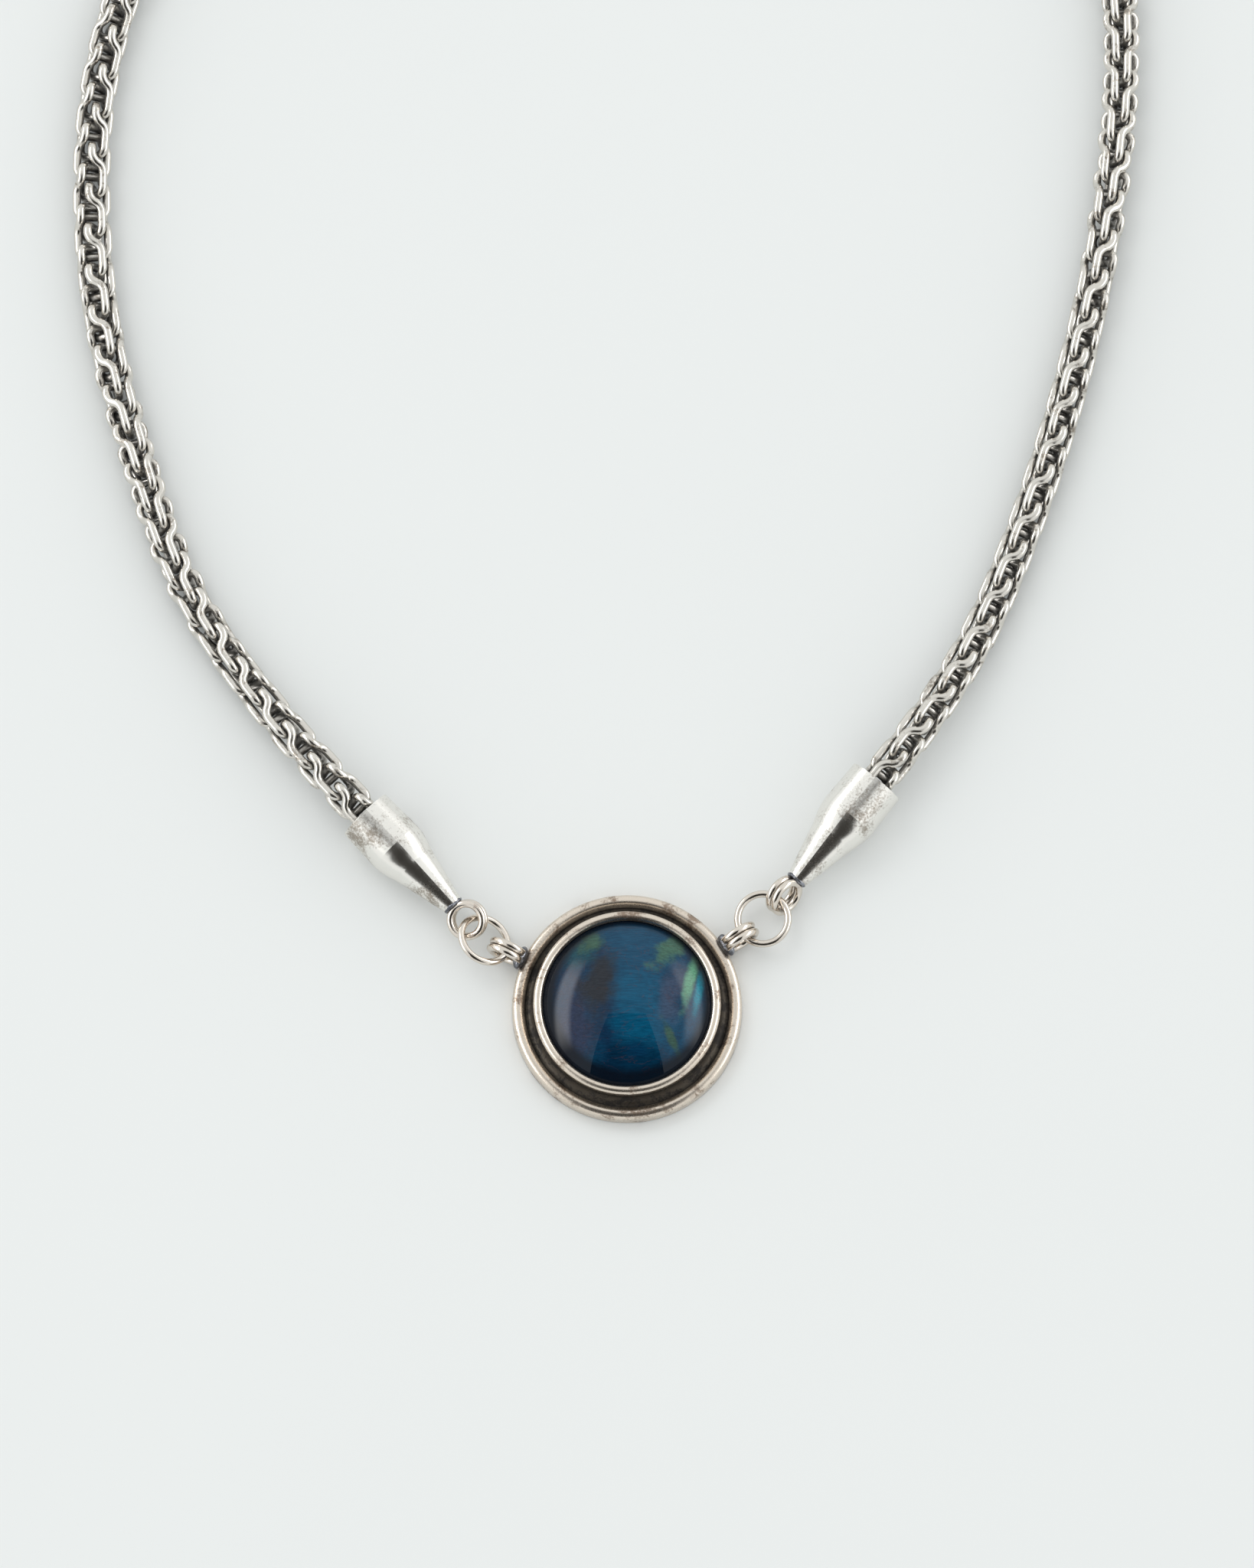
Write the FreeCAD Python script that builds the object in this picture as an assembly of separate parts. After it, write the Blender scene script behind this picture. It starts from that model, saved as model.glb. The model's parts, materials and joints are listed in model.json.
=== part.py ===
import FreeCAD, Part
import math
import os

# A pendant necklace in darkened silver, lying face up with its clasp open.  Units are millimetres.
# The origin is the middle of the pendant's flat back, +Z points out of the stone, +Y runs up
# towards the clasp and +X to the right.  Everything rests on the plane z = 0.

# --- driving dimensions -------------------------------------------------------------------------
# stone and its setting
stone_radius = 10.2
stone_girdle_height = 1.8
stone_dome_height = 3.9
setting_clearance = 0.05
bed_thickness = 0.9
bezel_wall = 0.75
bezel_lip_cover = 0.3
bezel_lip_height = 0.62
lip_clearance = 0.08
lip_land = 0.06
lip_crown_set_out = 0.12
bezel_shoulder_height = 0.15
cove_width = 1.0
cove_height = 2.3
cove_foot = 0.5
cove_hollow_width = 0.22
cove_hollow_height = 0.69
border_width = 1.5
border_side_height = 0.6
plate_thickness = 1.0

# wire loops: the two lugs on the pendant and the eyes on the end caps are rings of two turns
eye_wire = 0.9
eye_hole_radius = 1.5
turn_overlap = 0.02
lug_reach = 2.05
pendant_turn = 3.5
lug_spread = 61.5
solder_length = 0.7
solder_width = 2.0
solder_low = 0.35
solder_high = 2.0

# jump rings
ring_wire = 0.86
ring_hole_radius = 2.54

# bullet-shaped end caps: a cone from the neck, a rounded shoulder, then a nearly straight skirt
cap_length = 14.9
cap_neck_radius = 1.25
cap_wall = 0.876
cap_mouth_taper = 0.1
cap_shoulder_drop = 0.72
cap_shoulder_bulge = 0.115
cap_belly_from_neck = 9.6
cap_cone_end = 6.6
chain_clearance = 0.35
neck_bore_clearance = 0.06
cavity_floor_from_neck = 5.5
cavity_shoulder = 2.2
cavity_cone = 1.37
hook_depth = 8.37
hook_play = 0.35
hook_pull_gap = 0.225
hook_cavity_clearance = 0.15

# chain of twisted oval links, each one passing through the next two; a link's sizes go by its wire
chain_wire = 1.0
links_in_cap = 3
links_in_run = 6
runs_per_side = 10
lower_skew = 23.3
upper_skew = 17.1
table_clearance = 0.03
settle_length = 26.0

# how the back rings lie in the eyes of the back caps
back_ring_drop = 0.35
left_back_ring_low = 0.5
tail_ring_rise = 0.3
tail_ring_gap = 0.15

# lobster clasp
claw_lift = 0.15
claw_thickness = 2.4
claw_root_radius = 2.2
claw_nose_radius = 3.1
claw_length = 7.2
claw_bar = 1.25
claw_throat = 1.15
claw_rounding = 0.55
claw_tail_overlap = 0.5
claw_lip = 0.2
lever_thickness = 0.9
lever_gap = 0.08
lever_width = 1.2
lever_inset = 0.15
lever_hub = 0.95
tab_reach = 2.6
tab_set_over = 0.9
tab_width = 1.0
tab_knob = 0.75
pin_radius = 0.4
pin_clearance = 0.03
pin_set_down = 0.75
tail_hole_radius = 1.25
spring_wire = 0.3
spring_bow = 0.12
spring_half_span = 1.1

# --- worked out from those ----------------------------------------------------------------------
bezel_outer_radius = stone_radius + setting_clearance + bezel_wall
border_inner_radius = bezel_outer_radius + cove_width
pendant_radius = border_inner_radius + border_width
stone_base = plate_thickness + bed_thickness
girdle_top = stone_base + stone_girdle_height
dome_radius = (stone_radius ** 2 + stone_dome_height ** 2) / (2 * stone_dome_height)
dome_centre = girdle_top + stone_dome_height - dome_radius
eye_mean_radius = eye_hole_radius + eye_wire / 2
eye_outer_radius = eye_hole_radius + eye_wire
ring_mean_radius = ring_hole_radius + ring_wire / 2
lug_distance = pendant_radius + lug_reach
chain_pitch = 2.45 * chain_wire
link_length = 7.093 * chain_wire
link_half_width = 1.774 * chain_wire
lower_corner_radius = 1.163 * chain_wire
upper_corner_radius = 0.874 * chain_wire
twist_start = 3.15 * chain_wire
twist_end = 5.70 * chain_wire
chain_radius = link_half_width + chain_wire / 2
cap_cavity_radius = chain_radius + chain_clearance
cap_belly_radius = cap_cavity_radius + cap_wall
cap_mouth_radius = cap_belly_radius - cap_mouth_taper
cap_cone_radius = cap_belly_radius - cap_shoulder_drop
neck_bore_radius = eye_wire / 2 + neck_bore_clearance
links_per_side = 2 * links_in_cap + links_in_run * runs_per_side
hook_mean_radius = (chain_wire + eye_wire) / 2 + hook_play
hook_to_link = chain_wire + hook_pull_gap + eye_wire / 2 - hook_mean_radius
first_link_inside = cap_length - hook_depth + hook_to_link
chain_rest_height = chain_radius + table_clearance
cap_rest_height = cap_belly_radius + table_clearance
tail_mean_radius = tail_hole_radius + eye_wire / 2
tail_outer_radius = tail_hole_radius + eye_wire
claw_root_at = tail_outer_radius + claw_root_radius - claw_tail_overlap
claw_nose_at = claw_root_at + claw_length - claw_root_radius
claw_low = claw_lift
claw_high = claw_lift + claw_thickness
lever_low = claw_lift + (claw_thickness - lever_thickness) / 2
lever_high = lever_low + lever_thickness
lever_middle = (lever_low + lever_high) / 2

X = FreeCAD.Vector(1, 0, 0)
Y = FreeCAD.Vector(0, 1, 0)
Z = FreeCAD.Vector(0, 0, 1)
HERE = FreeCAD.Vector(0, 0, 0)


def point(x, y, z=0.0):
    return FreeCAD.Vector(x, y, z)


def heading(azimuth, rise=0.0):
    """A unit vector: degrees anticlockwise from +X, then degrees above the table."""
    a = math.radians(azimuth)
    r = math.radians(rise)
    return point(math.cos(r) * math.cos(a), math.cos(r) * math.sin(a), math.sin(r))


def save(name, *solids):
    shape = solids[0] if len(solids) == 1 else Part.makeCompound(list(solids))
    shape.exportStep(f"parts/{name}.step")


def frame_at(origin, along, up):
    """A placement whose Z runs along, and whose X is as near to up as it can be."""
    z = FreeCAD.Vector(along).normalize()
    x = up - z * up.dot(z)
    x.normalize()
    y = z.cross(x)
    matrix = FreeCAD.Matrix(x.x, y.x, z.x, origin.x, x.y, y.y, z.y, origin.y,
                            x.z, y.z, z.z, origin.z, 0, 0, 0, 1)
    return FreeCAD.Placement(matrix)


def moved(shape, placement):
    copy = shape.copy()
    copy.Placement = placement
    return copy


def turned(edges):
    """The solid that a closed outline in the XZ plane sweeps round the Z axis."""
    return Part.Face(Part.Wire(edges)).revolve(HERE, Z, 360)


def line(a, b):
    return Part.LineSegment(a, b).toShape()


def arc(a, middle, b):
    return Part.Arc(a, middle, b).toShape()


def rz(radius, height):
    return point(radius, 0, height)


# --- the pendant --------------------------------------------------------------------------------
def back_plate():
    return Part.makeCylinder(pendant_radius, plate_thickness)


def border_ring():
    """Half-round wire on a short straight side, soldered round the edge of the plate."""
    side = plate_thickness + border_side_height
    middle = border_inner_radius + border_width / 2
    return turned([
        line(rz(border_inner_radius, plate_thickness), rz(pendant_radius, plate_thickness)),
        line(rz(pendant_radius, plate_thickness), rz(pendant_radius, side)),
        arc(rz(pendant_radius, side), rz(middle, side + border_width / 2), rz(border_inner_radius, side)),
        line(rz(border_inner_radius, side), rz(border_inner_radius, plate_thickness)),
    ])


def cove_ring():
    """The hollow moulding that runs from the border up the outside of the bezel."""
    foot = rz(border_inner_radius, plate_thickness + cove_foot)
    head = rz(bezel_outer_radius, plate_thickness + cove_height)
    hollow = rz(bezel_outer_radius + cove_hollow_width, plate_thickness + cove_foot + cove_hollow_height)
    return turned([
        line(rz(bezel_outer_radius, plate_thickness), rz(border_inner_radius, plate_thickness)),
        line(rz(border_inner_radius, plate_thickness), foot),
        arc(foot, hollow, head),
        line(head, rz(bezel_outer_radius, plate_thickness)),
    ])


def dome_height_at(radius):
    return dome_centre + math.sqrt(dome_radius ** 2 - radius ** 2)


def bezel():
    """The wall round the stone, with its top edge rubbed over the girdle as a thin bright lip."""
    inner = stone_radius + setting_clearance
    tip = stone_radius - bezel_lip_cover
    tip_low = rz(tip, dome_height_at(tip) + lip_clearance)
    tip_high = rz(tip + lip_land, tip_low.z + bezel_lip_height / 2)
    shoulder = rz(bezel_outer_radius, tip_low.z + bezel_shoulder_height)
    crown = rz((tip + bezel_outer_radius) / 2 + lip_crown_set_out, tip_low.z + bezel_lip_height)
    inner_top = rz(inner, girdle_top + setting_clearance)
    return turned([
        line(rz(inner, plate_thickness), rz(bezel_outer_radius, plate_thickness)),
        line(rz(bezel_outer_radius, plate_thickness), shoulder),
        arc(shoulder, crown, tip_high),
        line(tip_high, tip_low),
        line(tip_low, inner_top),
        line(inner_top, rz(inner, plate_thickness)),
    ])


def stone_bed():
    bed = Part.makeCylinder(stone_radius - 2 * setting_clearance, bed_thickness)
    return moved(bed, FreeCAD.Placement(Z * plate_thickness, FreeCAD.Rotation()))


def stone():
    """A round cabochon: flat base, straight girdle and a domed face."""
    top = girdle_top + stone_dome_height
    half = stone_radius / 2
    return turned([
        line(rz(0, stone_base), rz(stone_radius, stone_base)),
        line(rz(stone_radius, stone_base), rz(stone_radius, girdle_top)),
        arc(rz(stone_radius, girdle_top), rz(half, dome_height_at(half)), rz(0, top)),
        line(rz(0, top), rz(0, stone_base)),
    ])


# --- wire loops ---------------------------------------------------------------------------------
def two_turn_ring(mean_radius, wire):
    """Two turns of wire side by side and soldered, round the Z axis."""
    half_gap = wire * (1 - turn_overlap) / 2
    waist = math.sqrt((wire / 2) ** 2 - half_gap ** 2)
    inner = rz(mean_radius - waist, 0)
    outer = rz(mean_radius + waist, 0)
    return turned([
        arc(inner, rz(mean_radius, half_gap + wire / 2), outer),
        arc(outer, rz(mean_radius, -half_gap - wire / 2), inner),
    ])


def jump_ring():
    return Part.makeTorus(ring_mean_radius, ring_wire / 2)


def lug(azimuth):
    """A two-turn ring standing on edge at the pendant's rim, with the solder that holds it."""
    out = heading(azimuth)
    across = Z.cross(out)
    centre = out * lug_distance + Z * eye_outer_radius
    ring = moved(two_turn_ring(eye_mean_radius, eye_wire), frame_at(centre, across, out))
    solder = Part.makeBox(border_width + solder_length, solder_width, solder_high - solder_low,
                          point(border_inner_radius, -solder_width / 2, solder_low))
    solder = moved(solder, FreeCAD.Placement(HERE, FreeCAD.Rotation(Z, azimuth)))
    rim = Part.makeCylinder(pendant_radius, 4 * eye_outer_radius, Z * -1)
    return ring.fuse(solder).cut(rim).removeSplitter().Solids[0]


# --- end caps -----------------------------------------------------------------------------------
def cap_shell():
    """A hollow bullet round the Z axis, with its neck at z = 0 and its mouth at z = cap_length."""
    bulge = rz((cap_cone_radius + cap_belly_radius) / 2 + cap_shoulder_bulge,
               (cap_cone_end + cap_belly_from_neck) / 2)
    floor = cavity_floor_from_neck
    floor_radius = hook_mean_radius + eye_wire / 2 + hook_cavity_clearance
    outer = [
        line(rz(neck_bore_radius, 0), rz(cap_neck_radius, 0)),
        line(rz(cap_neck_radius, 0), rz(cap_cone_radius, cap_cone_end)),
        arc(rz(cap_cone_radius, cap_cone_end), bulge, rz(cap_belly_radius, cap_belly_from_neck)),
        line(rz(cap_belly_radius, cap_belly_from_neck), rz(cap_mouth_radius, cap_length)),
    ]
    inner = [
        line(rz(cap_mouth_radius, cap_length), rz(cap_cavity_radius, cap_length)),
        line(rz(cap_cavity_radius, cap_length), rz(cap_cavity_radius, floor + cavity_shoulder)),
        line(rz(cap_cavity_radius, floor + cavity_shoulder), rz(floor_radius, floor)),
        line(rz(floor_radius, floor), rz(neck_bore_radius, floor - cavity_cone)),
        line(rz(neck_bore_radius, floor - cavity_cone), rz(neck_bore_radius, 0)),
    ]
    return turned(outer + inner)


def cap_eye(eye_side, hook_side):
    """The wire through a cap: a two-turn eye at the neck, a stem, and a hook round the first link.

    It is in the cap's own place, with the eye below z = 0.  Each side is the unit vector across
    the cap along which that ring is thin.
    """
    eye = moved(two_turn_ring(eye_mean_radius, eye_wire),
                frame_at(Z * -eye_outer_radius, eye_side, Z))
    hook = moved(Part.makeTorus(hook_mean_radius, eye_wire / 2), frame_at(Z * hook_depth, hook_side, Z))
    foot = -0.5 * eye_wire
    head = hook_depth - hook_mean_radius
    stem = Part.makeCylinder(eye_wire / 2, head - foot, Z * foot)
    return eye.fuse(stem).fuse(hook).Solids[0]


# --- chain links --------------------------------------------------------------------------------
def quarter(edges, centre, start, end, radius):
    middle = (start + end).normalize()
    edges.append(arc(centre + start * radius, centre + middle * radius, centre + end * radius))


def half_link_path():
    """Half of a link's centre line, from the middle of its lower end to the middle of its upper."""
    lower = heading(lower_skew)
    upper = heading(90 - upper_skew)
    low = chain_wire / 2
    high = link_length - chain_wire / 2
    start = lower * link_half_width
    end = upper * link_half_width
    across = end - start
    side = FreeCAD.Vector(across).normalize()
    rise = twist_end - twist_start
    turn = 2 * math.atan2(across.Length, rise)
    bend = rise / (2 * math.sin(turn))

    def first_bend(angle):
        return start + Z * (twist_start + bend * math.sin(angle)) + side * (bend * (1 - math.cos(angle)))

    def second_bend(angle):
        return end + Z * (twist_end - bend * math.sin(angle)) - side * (bend * (1 - math.cos(angle)))

    inner_low = link_half_width - lower_corner_radius
    inner_high = link_half_width - upper_corner_radius
    edges = [line(Z * low, lower * inner_low + Z * low)]
    quarter(edges, lower * inner_low + Z * (low + lower_corner_radius), Z * -1, lower, lower_corner_radius)
    edges.append(line(start + Z * (low + lower_corner_radius), start + Z * twist_start))
    edges.append(arc(first_bend(0), first_bend(turn / 2), first_bend(turn)))
    edges.append(arc(second_bend(turn), second_bend(turn / 2), second_bend(0)))
    if high - upper_corner_radius - twist_end > 0.001:
        edges.append(line(end + Z * twist_end, end + Z * (high - upper_corner_radius)))
    quarter(edges, upper * inner_high + Z * (high - upper_corner_radius), upper, Z, upper_corner_radius)
    edges.append(line(upper * inner_high + Z * high, Z * high))
    return Part.Wire(edges)


def left_hand_link():
    """One twisted oval link, made of two equal halves, with its lower end at z = 0."""
    path = half_link_path()
    round_section = Part.Face(Part.Wire([Part.Circle(Z * (chain_wire / 2), heading(lower_skew),
                                                     chain_wire / 2).toShape()]))
    half = path.makePipe(round_section)
    other = half.copy()
    other.rotate(HERE, Z, 180)
    return half.fuse(other).Solids[0]


def strands():
    """The two hands of link, which take turns along the chain."""
    one = left_hand_link()
    return [one, one.mirror(HERE, X)]


# --- where the pieces lie -----------------------------------------------------------------------
class Side:
    """One arm of the necklace: its ring, caps and chain, in order from the pendant outwards."""

    def __init__(self, name, lug_azimuth, to_ring, to_eye, ring_lean, eye_roll, cap_azimuth, route, roll,
                 back_eye_roll):
        self.name = name
        self.lug_azimuth = lug_azimuth
        lug_centre = heading(lug_azimuth) * lug_distance + Z * eye_outer_radius
        ring_azimuth, ring_pull, ring_rise = to_ring
        eye_azimuth, eye_pull, eye_rise = to_eye
        self.ring_centre = lug_centre + heading(ring_azimuth) * (ring_mean_radius + ring_pull) + Z * ring_rise
        self.eye_centre = self.ring_centre + heading(eye_azimuth) * (ring_mean_radius + eye_pull)
        self.eye_centre = self.eye_centre + Z * eye_rise
        self.ring_axis = heading(ring_lean[0], 90 - ring_lean[1])
        reach = eye_outer_radius + cap_belly_from_neck
        lift = math.degrees(math.asin((cap_rest_height - self.eye_centre.z) / reach))
        self.cap_axis = heading(cap_azimuth, lift)
        self.neck = self.eye_centre + self.cap_axis * eye_outer_radius
        self.mouth = self.neck + self.cap_axis * cap_length
        self.eye_roll = eye_roll
        self.back_eye_roll = back_eye_roll
        self.roll = roll
        self.curve = Part.BSplineCurve()
        start = point(self.mouth.x, self.mouth.y)
        self.curve.interpolate(Points=[start] + [start + point(x, y) for x, y in route],
                               InitialTangent=point(self.cap_axis.x, self.cap_axis.y).normalize(),
                               FinalTangent=(point(*route[-1]) - point(*route[-2])).normalize())
        self.first = -first_link_inside
        last_top = self.first + (links_per_side - 1) * chain_pitch + link_length
        self.back_mouth_at = last_top - first_link_inside
        self.cap_slope = math.tan(math.radians(lift))
        self.back_mouth, self.back_axis = self.chain_at(self.back_mouth_at)

    def height_at(self, distance):
        """The chain's height and slope: it sinks from each cap's mouth to lie on the table."""
        from_end = min(distance, self.back_mouth_at - distance)
        share = min(1.0, from_end / settle_length)
        drop = self.mouth.z - chain_rest_height
        slope = self.cap_slope * settle_length
        sunk = drop * (1 - 3 * share ** 2 + 2 * share ** 3) + slope * share * (1 - share) ** 2
        rate = (drop * (6 * share ** 2 - 6 * share) + slope * (1 - share) * (1 - 3 * share)) / settle_length
        return chain_rest_height + sunk, rate if distance == from_end else -rate

    def chain_at(self, distance):
        """The chain's centre line and its direction, at a distance along it from the front mouth."""
        reach = max(0.0, min(distance, self.back_mouth_at, self.curve.length()))
        parameter = self.curve.parameterAtDistance(reach, self.curve.FirstParameter)
        flat = self.curve.value(parameter)
        along = FreeCAD.Vector(self.curve.tangent(parameter)[0]).normalize()
        height, slope = self.height_at(reach)
        along = (along + Z * slope).normalize()
        return point(flat.x, flat.y, height) + along * (distance - reach), along

    def roll_at(self, distance):
        """How far the weave has rolled about the chain, in degrees."""
        for (from_mm, from_deg), (to_mm, to_deg) in zip(self.roll, self.roll[1:]):
            if distance <= to_mm:
                share = max(0.0, distance - from_mm) / (to_mm - from_mm)
                return from_deg + (to_deg - from_deg) * share
        return self.roll[-1][1]

    def link_frame(self, number):
        """Where a link's lower end goes, and which way up it is."""
        middle = self.first + number * chain_pitch + link_length / 2
        here, along = self.chain_at(middle)
        flat = frame_at(here, along, Z)
        rolled = flat.multiply(FreeCAD.Placement(HERE, FreeCAD.Rotation(Z, self.roll_at(middle))))
        return rolled.multiply(FreeCAD.Placement(Z * (-link_length / 2), FreeCAD.Rotation()))

    def links(self, strand_pair, first, count):
        return [moved(strand_pair[n % 2], self.link_frame(n)) for n in range(first, first + count)]

    def across_at(self, number, from_top=False):
        """The direction across the chain along which the hook round a link's end is thin."""
        skew = 90 - upper_skew if from_top else lower_skew
        sign = 1 if number % 2 == 0 else -1
        base = self.link_frame(number).Rotation
        return base.multVec(point(sign * math.cos(math.radians(skew)), math.sin(math.radians(skew))))


def caps_and_eyes(side):
    """Front and back: each cap shell and the wire through it."""
    made = {}
    ends = [("front", side.neck, side.cap_axis, side.eye_roll, side.across_at(0)),
            ("back", side.back_mouth + side.back_axis * cap_length, side.back_axis * -1, side.back_eye_roll,
             side.across_at(links_per_side - 1, True))]
    for where, neck, axis, eye_roll, hook_side in ends:
        place = frame_at(neck, axis, Z)
        into_cap = place.inverse().Rotation
        eye_side = point(math.cos(math.radians(eye_roll)), math.sin(math.radians(eye_roll)))
        made[f"{side.name}_{where}_cap"] = moved(cap_shell(), place)
        made[f"{side.name}_{where}_eye"] = moved(cap_eye(eye_side, into_cap.multVec(hook_side)), place)
    return made


pendant_heading = 90 + pendant_turn
# each to_ring and to_eye is a heading, how far past the ring's mean radius the next centre lies, and a rise;
# ring_lean is the way the ring's axis leans and by how much; route is where the chain goes from the mouth of
# the front cap; roll lists distances along the chain with the weave's angle there
left = Side("left", pendant_heading + lug_spread, to_ring=(153.0, 0.0, 0.24), to_eye=(130.8, 0.12, 0.27),
            ring_lean=(35.3, 30.3), eye_roll=-24.0, cap_azimuth=133.9,
            route=[(-13.5, 15.9), (-20.9, 27.3), (-26.6, 42.3), (-30.9, 58.3), (-32.6, 74.8), (-31.5, 90.8),
                   (-27.0, 105.8), (-20.5, 119.8), (-13.1, 133.3), (-5.3, 146.3)],
            roll=[(0, -80), (8, -75), (50, 0), (88, 75), (110, 90), (160, 90)], back_eye_roll=90)
right = Side("right", pendant_heading - lug_spread, to_ring=(39.05, 0.60, 0.01), to_eye=(48.3, 0.746, 0.18),
             ring_lean=(-125.0, 5.0), eye_roll=65.0, cap_azimuth=50.9,
             route=[(10.9, 15.9), (16.9, 29.4), (21.9, 44.4), (25.9, 60.4), (28.4, 75.9), (29.3, 89.9),
                    (28.3, 103.9), (25.6, 117.4), (21.7, 130.9), (17.2, 143.9)],
             roll=[(0, -45), (60, -45), (90, 0), (160, 0)], back_eye_roll=90)


# --- back rings and clasp -----------------------------------------------------------------------
def back_ring(side, far_height):
    """Where the jump ring in a back cap's eye goes, sloping to far_height, and its far point."""
    eye = side.back_mouth + side.back_axis * (cap_length + eye_outer_radius)
    near = eye.z - back_ring_drop
    flat = FreeCAD.Vector(side.back_axis.x, side.back_axis.y, 0).normalize()
    slope = math.asin((near - far_height) / (2 * ring_mean_radius))
    along = flat * math.cos(slope) - Z * math.sin(slope)
    centre = point(eye.x, eye.y, near) + along * ring_mean_radius
    return frame_at(centre, along.cross(Z.cross(flat)), along), centre + along * ring_mean_radius


def clasp_place(side):
    """The clasp lies flat past its ring: its X is its length, its Z is up, its tail eye at x = 0."""
    far_point = back_ring(side, tail_outer_radius + tail_ring_rise)[1]
    flat = FreeCAD.Vector(side.back_axis.x, side.back_axis.y, 0).normalize()
    azimuth = math.degrees(math.atan2(flat.y, flat.x))
    return FreeCAD.Placement(point(far_point.x, far_point.y) + flat * tail_ring_gap,
                             FreeCAD.Rotation(Z, azimuth))


def slab(outline, low, high):
    face = Part.Face(outline)
    face.translate(Z * low)
    return face.extrude(Z * (high - low))


def block(x1, x2, y1, y2, low, high):
    return Part.makeBox(x2 - x1, y2 - y1, high - low, point(x1, y1, low))


def disc(centre, radius, low, high):
    return Part.makeCylinder(radius, high - low, centre + Z * low)


def tapered_bar(x1, r1, x2, r2):
    """The outline round two circles on the X axis, joined by their common tangents."""
    tilt = math.acos((r1 - r2) / (x2 - x1))
    a = point(x1 + r1 * math.cos(tilt), r1 * math.sin(tilt))
    b = point(x2 + r2 * math.cos(tilt), r2 * math.sin(tilt))
    c = point(b.x, -b.y)
    d = point(a.x, -a.y)
    return Part.Wire([line(a, b), arc(b, point(x2 + r2, 0), c), line(c, d), arc(d, point(x1 - r1, 0), a)])


claw_pin_at = point(claw_root_at, -pin_set_down)
claw_gate_at = point(claw_nose_at + claw_lip - lever_gap - lever_width / 2,
                     -claw_nose_radius + lever_width / 2 + lever_inset)


def pin_bore():
    return disc(claw_pin_at, pin_radius + pin_clearance, claw_low - 1, claw_high + 1)


def clasp_body():
    """The claw: a root with a slot for the lever, a hook round the throat, and the tail eye."""
    outline = tapered_bar(claw_root_at, claw_root_radius, claw_nose_at, claw_nose_radius)
    body = slab(outline, claw_low, claw_high)
    body = body.makeFillet(claw_rounding, [e for e in body.Edges if abs(e.BoundBox.ZLength) < 0.01])
    neck_end = claw_root_at + claw_root_radius
    throat = slab(tapered_bar(neck_end + claw_throat / 2, claw_throat, claw_nose_at,
                              claw_nose_radius - claw_bar), claw_low - 1, claw_high + 1)
    below = -claw_nose_radius - 1
    mouth = block(neck_end - claw_throat / 3, claw_nose_at + claw_lip, below, 0, claw_low - 1, claw_high + 1)
    slot = block(claw_pin_at.x - lever_hub - lever_width / 2, neck_end + claw_throat, below,
                 claw_pin_at.y + lever_hub + spring_bow + 2 * spring_wire,
                 lever_low - lever_gap, lever_high + lever_gap)
    tail = moved(two_turn_ring(tail_mean_radius, eye_wire), frame_at(Z * tail_outer_radius, Y, X))
    return body.cut(throat).cut(mouth).cut(slot).cut(pin_bore()).fuse(tail).Solids[0]


def clasp_lever():
    """The spring-loaded gate that closes the throat, with a thumb tab beside its pivot."""
    run = claw_gate_at - claw_pin_at
    bar = block(0, run.Length, -lever_width / 2, lever_width / 2, lever_low, lever_high)
    bar = moved(bar, FreeCAD.Placement(claw_pin_at, FreeCAD.Rotation(X, run)))
    knob_at = claw_pin_at + point(tab_set_over, -tab_reach)
    tab = block(knob_at.x - tab_width / 2, knob_at.x + tab_width / 2, knob_at.y, claw_pin_at.y,
                lever_low, lever_high)
    pieces = [bar, tab, disc(claw_gate_at, lever_width / 2, lever_low, lever_high),
              disc(knob_at, tab_knob, lever_low, lever_high)]
    lever = disc(claw_pin_at, lever_hub, lever_low, lever_high).fuse(pieces)
    return lever.cut(pin_bore()).removeSplitter().Solids[0]


def clasp_pin():
    """The pivot, held in the claw's two cheeks."""
    return disc(claw_pin_at, pin_radius, claw_low, claw_high)


def clasp_spring():
    """A bowed piece of spring wire behind the lever's hub, pressing the gate outwards."""
    seat = claw_pin_at.y + lever_hub + lever_gap + spring_wire / 2
    start = point(claw_pin_at.x - spring_half_span / 2, seat, lever_middle)
    top = start + point(spring_half_span, spring_bow)
    end = start + point(2 * spring_half_span, 0)
    path = Part.Wire([arc(start, top, end)])
    along = path.Edges[0].tangentAt(path.Edges[0].FirstParameter)
    return path.makePipe(Part.Face(Part.Wire([Part.Circle(start, along, spring_wire / 2).toShape()])))


# --- writing the parts --------------------------------------------------------------------------
os.makedirs("parts", exist_ok=True)
save("back_plate", back_plate())
save("border_ring", border_ring())
save("cove_ring", cove_ring())
save("bezel", bezel())
save("stone_bed", stone_bed())
save("stone", stone())

strand_pair = strands()
for side in (left, right):
    save(f"{side.name}_lug", lug(side.lug_azimuth))
    save(f"{side.name}_front_ring", moved(jump_ring(), frame_at(side.ring_centre, side.ring_axis, X)))
    for name, solid in caps_and_eyes(side).items():
        save(name, solid)
    save(f"{side.name}_front_cap_links", *side.links(strand_pair, 0, links_in_cap))
    for run in range(runs_per_side):
        first = links_in_cap + run * links_in_run
        save(f"{side.name}_chain_run_{run + 1:02d}", *side.links(strand_pair, first, links_in_run))
    last = links_per_side - links_in_cap
    save(f"{side.name}_back_cap_links", *side.links(strand_pair, last, links_in_cap))

save("left_back_ring", moved(jump_ring(), back_ring(left, left_back_ring_low)[0]))
save("right_back_ring", moved(jump_ring(), back_ring(right, tail_outer_radius + tail_ring_rise)[0]))
for make in (clasp_body, clasp_lever, clasp_pin, clasp_spring):
    save(make.__name__, moved(make(), clasp_place(right)))
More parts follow.
